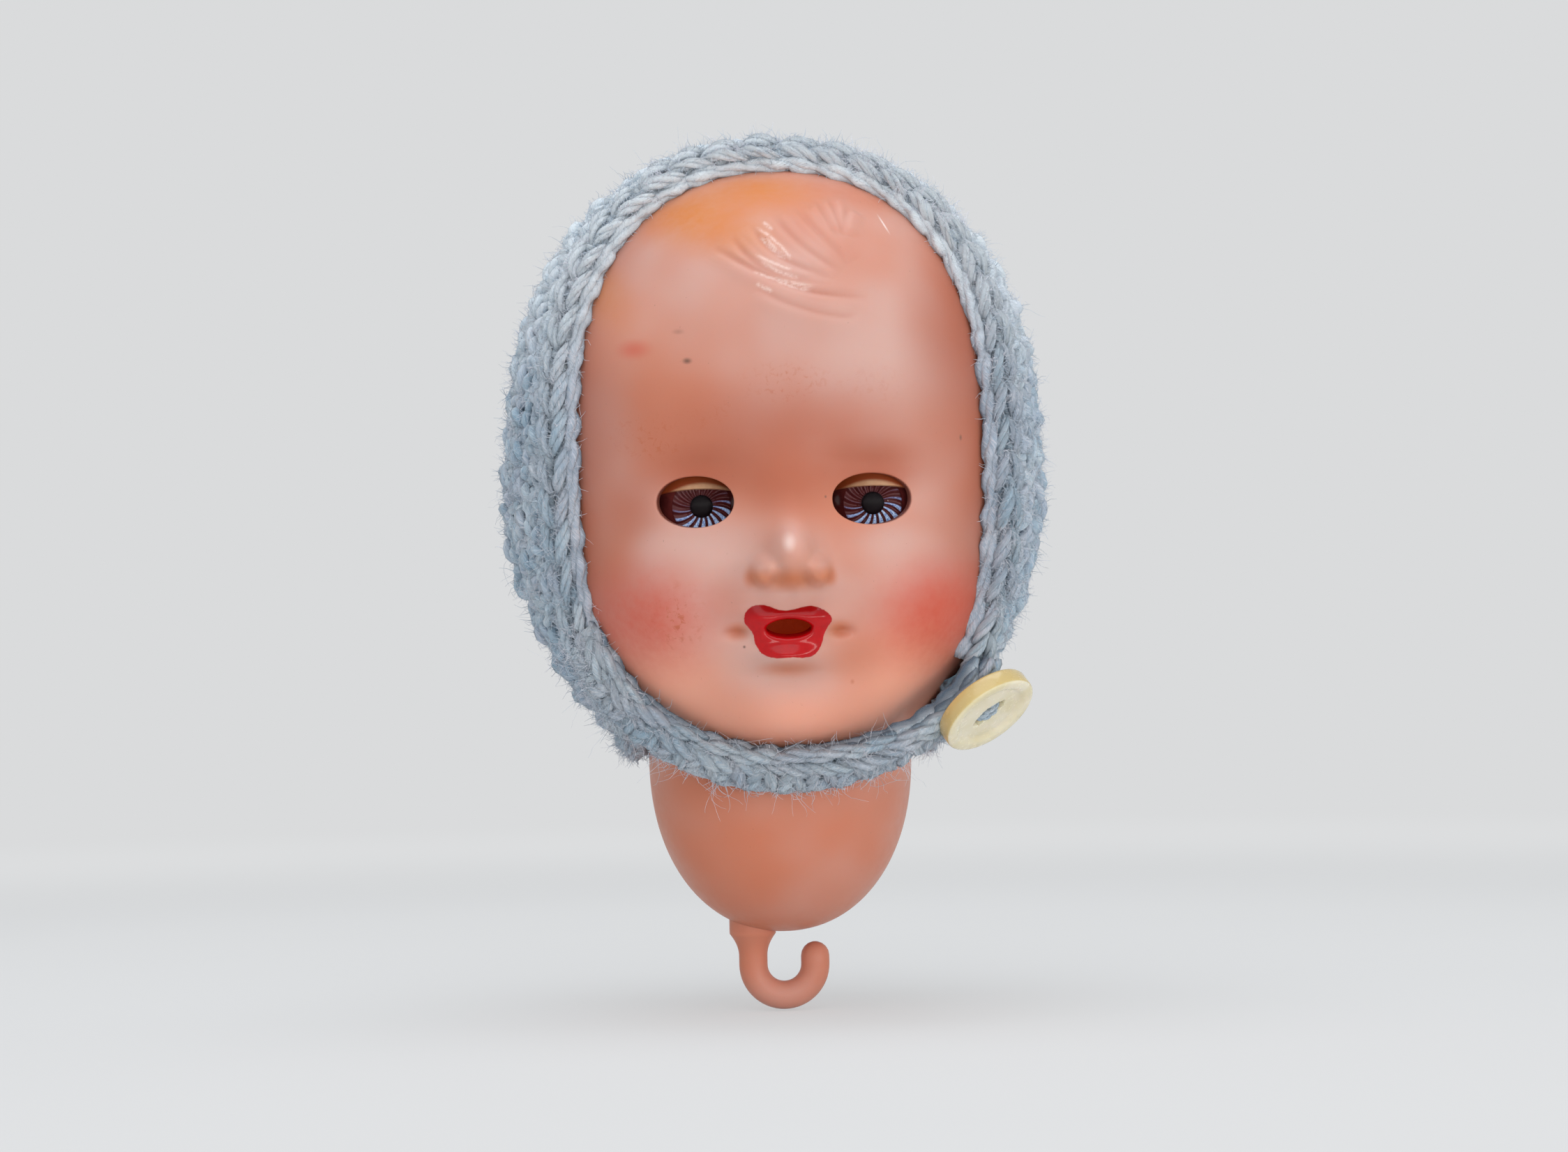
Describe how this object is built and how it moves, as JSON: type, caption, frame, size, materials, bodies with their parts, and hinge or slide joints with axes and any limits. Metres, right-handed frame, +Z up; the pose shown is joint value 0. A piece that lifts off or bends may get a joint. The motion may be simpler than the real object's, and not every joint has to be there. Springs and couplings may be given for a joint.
{
  "type": "sleeping-eye doll head with bonnet",
  "caption": "Hollow plastic doll head with weighted sleeping eyes, open mouth and a neck hook, in a crocheted bonnet buttoned under the chin.",
  "frame": {"origin": "the saddle of the neck hook, at the inside bottom of its bend, where the elastic bears", "axes": "+Z up through the crown, -Y out of the face, +X to the doll's own left"},
  "size_m": [0.0626, 0.066, 0.1007],
  "materials": {
    "painted_skin": "hard moulded plastic, worn satin, with sprayed blush, lips and hair",
    "moulded_skin": "hard moulded plastic, satin",
    "eyeball_plastic": "dark gloss",
    "iris_foil": "blue reeded foil",
    "pupil_plastic": "black gloss",
    "clear_plastic": "clear, polished",
    "lid_paint": "matt flesh paint",
    "steel_wire": "drawn wire",
    "lead": "dull cast lead",
    "cork": "cut cork",
    "crochet_wool": "crocheted pale blue yarn",
    "button_plastic": "cream, polished"
  },
  "bodies": {
    "head": {"face_shell": "painted_skin", "back_shell": "moulded_skin", "neck_hook": "moulded_skin", "right_axle_bracket": "moulded_skin", "left_axle_bracket": "moulded_skin", "open_bumper": "cork", "sleep_bumper": "cork", "bonnet_body": "crochet_wool", "bonnet_edging": "crochet_wool", "chin_strap": "crochet_wool"},
    "eyes": {"eye_axle": "steel_wire", "counterweight_arm": "steel_wire", "counterweight": "lead", "right_eyeball": "eyeball_plastic", "right_iris": "iris_foil", "right_pupil": "pupil_plastic", "right_lens": "clear_plastic", "right_eyelid": "lid_paint", "left_eyeball": "eyeball_plastic", "left_iris": "iris_foil", "left_pupil": "pupil_plastic", "left_lens": "clear_plastic", "left_eyelid": "lid_paint"},
    "button": {"button": "button_plastic", "button_thread": "crochet_wool"}
  },
  "joints": [
    {"name": "eye_rocker", "type": "hinge", "parent": "head", "child": "eyes", "pos_m": [0, -0.01669, 0.0555], "axis": [1, 0, 0], "range_deg": [0, 50]},
    {"name": "button_swivel", "type": "hinge", "parent": "head", "child": "button", "pos_m": [0.02092, -0.0156, 0.03397], "axis": [0.4833, -0.5, -0.7186], "range_deg": [-30, 30], "stiffness_Nm_per_rad": 0.00002}
  ]
}
